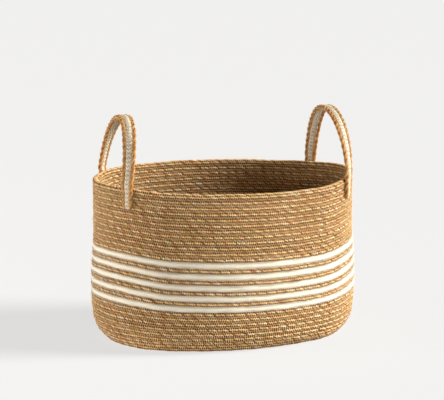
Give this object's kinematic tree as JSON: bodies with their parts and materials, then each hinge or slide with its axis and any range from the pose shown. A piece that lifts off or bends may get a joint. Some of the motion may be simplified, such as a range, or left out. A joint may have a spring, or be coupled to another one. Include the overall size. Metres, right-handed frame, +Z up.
{
  "type": "seagrass storage basket",
  "caption": "Oval coiled-rope storage basket with a flat base, a white-striped wall and two upright strap handles that fold at the rim.",
  "frame": {"origin": "on the floor, at the centre of the oval base", "axes": "X along the oval from the left handle to the right handle, Y across it towards the back, Z up"},
  "size_m": [0.419, 0.303, 0.3501],
  "materials": {
    "seagrass": "dry twisted seagrass rope, satin",
    "white_cord": "matte off-white cord",
    "thread": "pale sewing thread"
  },
  "bodies": {
    "basket": {"base_core": "seagrass", "base_coil": "seagrass", "turn_up_rows": "seagrass", "lower_wall_rows": "seagrass", "white_row_1": "white_cord", "seagrass_row_1": "seagrass", "white_row_2": "white_cord", "seagrass_row_2": "seagrass", "white_row_3": "white_cord", "seagrass_row_3": "seagrass", "white_row_4": "white_cord", "seagrass_row_4": "seagrass", "white_row_5": "white_cord", "upper_wall_rows": "seagrass", "rim_row": "seagrass", "band_stitching": "thread", "right_front_end_ropes": "seagrass", "right_front_end_white": "white_cord", "right_rear_end_ropes": "seagrass", "right_rear_end_white": "white_cord", "left_front_end_ropes": "seagrass", "left_front_end_white": "white_cord", "left_rear_end_ropes": "seagrass", "left_rear_end_white": "white_cord", "sewn_stitching": "thread"},
    "right_handle": {"right_arch_outer_rope": "seagrass", "right_arch_white_rope": "white_cord", "right_arch_inner_rope": "seagrass", "right_arch_stitching": "thread"},
    "left_handle": {"left_arch_outer_rope": "seagrass", "left_arch_white_rope": "white_cord", "left_arch_inner_rope": "seagrass", "left_arch_stitching": "thread"}
  },
  "joints": [
    {"name": "right_handle_fold", "type": "hinge", "parent": "basket", "child": "right_handle", "pos_m": [0.17408, 0, 0.252], "axis": [0, 1, 0], "range_deg": [-60, 60], "stiffness_Nm_per_rad": 0.25},
    {"name": "left_handle_fold", "type": "hinge", "parent": "basket", "child": "left_handle", "pos_m": [-0.17408, 0, 0.252], "axis": [0, -1, 0], "range_deg": [-60, 60], "stiffness_Nm_per_rad": 0.25}
  ]
}
